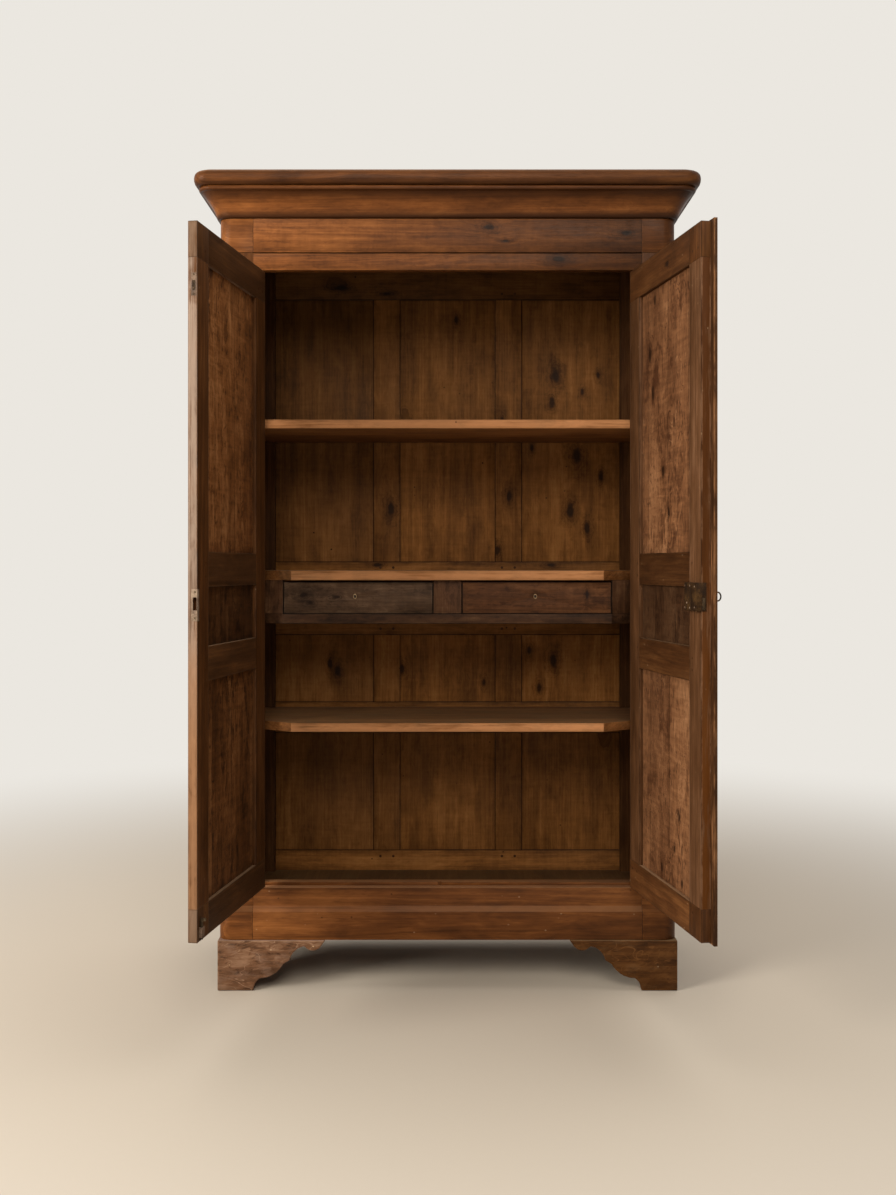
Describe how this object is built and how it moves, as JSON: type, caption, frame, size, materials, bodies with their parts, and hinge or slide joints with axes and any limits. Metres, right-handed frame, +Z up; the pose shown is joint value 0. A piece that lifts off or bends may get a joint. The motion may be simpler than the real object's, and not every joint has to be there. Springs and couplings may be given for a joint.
{
  "type": "wardrobe",
  "caption": "Old country wardrobe with panelled doors standing open on shelves and drawers, a moulded round-cornered cornice, a framed back and scrolled bracket feet.",
  "frame": {"origin": "on the floor, in the middle of the case's footprint", "axes": "+Z up; +Y from the doors to the back, so the front faces -Y; +X to the right as seen from the front"},
  "size_m": [1.386, 1.0293, 2.2405],
  "materials": {
    "walnut": "waxed",
    "figured_walnut": "waxed",
    "worn_walnut": "worn",
    "drawer_walnut": "dull",
    "shelf_wood": "dull",
    "old_pine": "unfinished",
    "dark_oak": "dull",
    "old_iron": "patinated",
    "strike_metal": "worn",
    "old_brass": "tarnished"
  },
  "bodies": {
    "case": {"back_muntins": "old_pine", "back_panels": "old_pine", "back_rails": "old_pine", "base_rail": "walnut", "battens": "old_pine", "cornice_cap": "walnut", "cornice_front": "walnut", "cornice_returns": "walnut", "door_stop": "walnut", "drawer_frame_rail": "drawer_walnut", "drawer_frame_stiles": "drawer_walnut", "drawer_runners": "old_pine", "drawer_top_shelf": "shelf_wood", "floor_boards": "old_pine", "foot_blocks": "worn_walnut", "foot_side_brackets": "worn_walnut", "frame_hinge_leaves": "old_iron", "frieze_board": "walnut", "head_rail": "walnut", "left_back_post": "dark_oak", "left_front_foot": "worn_walnut", "left_front_post": "walnut", "left_side_panels": "figured_walnut", "left_side_rails": "walnut", "lower_shelf": "shelf_wood", "right_back_post": "dark_oak", "right_front_foot": "worn_walnut", "right_front_post": "walnut", "right_side_panels": "figured_walnut", "right_side_rails": "walnut", "top_boards": "old_pine", "upper_shelf": "shelf_wood"},
    "left_drawer": {"left_drawer_bottom": "old_pine", "left_drawer_box": "old_pine", "left_drawer_front": "drawer_walnut", "left_drawer_keyhole": "old_brass"},
    "right_drawer": {"right_drawer_bottom": "old_pine", "right_drawer_box": "old_pine", "right_drawer_front": "drawer_walnut", "right_drawer_keyhole": "old_brass"},
    "left_door": {"left_door_hinge_leaves": "old_iron", "left_door_hinge_stile": "walnut", "left_door_meeting_stile": "walnut", "left_door_panels": "figured_walnut", "left_door_rails": "walnut", "strike_plate": "strike_metal", "door_bolt_plates": "old_iron"},
    "right_door": {"right_door_hinge_leaves": "old_iron", "right_door_hinge_stile": "walnut", "right_door_meeting_stile": "walnut", "right_door_panels": "figured_walnut", "right_door_rails": "walnut", "door_astragal": "walnut", "lock_case": "old_iron", "key_escutcheon": "old_brass"},
    "edge_bolt": {"edge_bolt": "old_iron"},
    "foot_bolt": {"foot_bolt": "old_iron"},
    "key": {"door_key": "old_iron"},
    "lock_bolt": {"lock_bolt": "old_iron"}
  },
  "joints": [
    {"name": "left_door_hinge", "type": "hinge", "parent": "case", "child": "left_door", "pos_m": [-0.533, -0.248, 1.128], "axis": [0, 0, -1], "range_deg": [-99, 71]},
    {"name": "right_door_hinge", "type": "hinge", "parent": "case", "child": "right_door", "pos_m": [0.533, -0.248, 1.128], "axis": [0, 0, 1], "range_deg": [-100, 70]},
    {"name": "left_drawer_slide", "type": "slide", "parent": "case", "child": "left_drawer", "axis": [0, -1, 0], "range_m": [0, 0.28]},
    {"name": "right_drawer_slide", "type": "slide", "parent": "case", "child": "right_drawer", "axis": [0, -1, 0], "range_m": [0, 0.28]},
    {"name": "edge_bolt_slide", "type": "slide", "parent": "left_door", "child": "edge_bolt", "axis": [0, 0, 1], "range_m": [0, 0.015]},
    {"name": "foot_bolt_slide", "type": "slide", "parent": "left_door", "child": "foot_bolt", "axis": [0, 0, -1], "range_m": [0, 0.012]},
    {"name": "key_turn", "type": "hinge", "parent": "right_door", "child": "key", "pos_m": [0.61056, -0.73391, 1.0925], "axis": [-0.9848, -0.1736, 0], "range_deg": [0, 360]},
    {"name": "lock_bolt_slide", "type": "slide", "parent": "right_door", "child": "lock_bolt", "axis": [0.1736, -0.9848, 0], "range_m": [0, 0.0125]}
  ],
  "couplings": [
    {"joint": "lock_bolt_slide", "follows": "key_turn", "m_per_rad": 0.0019}
  ]
}
